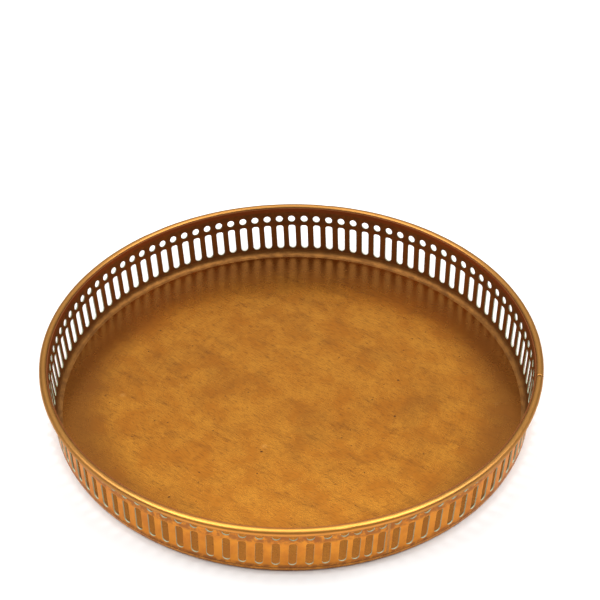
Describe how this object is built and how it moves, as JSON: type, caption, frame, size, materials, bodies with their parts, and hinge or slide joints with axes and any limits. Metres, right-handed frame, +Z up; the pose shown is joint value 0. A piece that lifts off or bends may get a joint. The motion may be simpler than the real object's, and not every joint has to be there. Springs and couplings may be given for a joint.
{
  "type": "gallery tray",
  "caption": "Round copper-toned brass serving tray with a low wall pierced by upright slots and dots, and a wired rim bead.",
  "frame": {"origin": "centre of the underside, on the surface that the tray stands on", "axes": "+Z up along the tray's axis; -Y is the front, with the strip's joint just to its right and the bead's joint near +X"},
  "size_m": [0.31, 0.31, 0.0387],
  "materials": {
    "floor_brass": "satin, lightly worn, small dark pits",
    "gallery_copper": "satin copper-toned brass with darker patina in the corners",
    "rim_brass": "polished by handling",
    "cove_solder": "wiped satin braze",
    "solder": "dull grey-yellow solder",
    "core_wire": "drawn iron wire"
  },
  "bodies": {
    "root": {"tray_floor": "floor_brass", "gallery_strip": "gallery_copper", "gallery_seam_solder": "solder", "floor_seam_solder": "cove_solder", "rim_bead": "rim_brass", "rim_core_wire": "core_wire", "rim_seam_solder": "solder", "rim_joint_solder": "solder"}
  },
  "joints": []
}
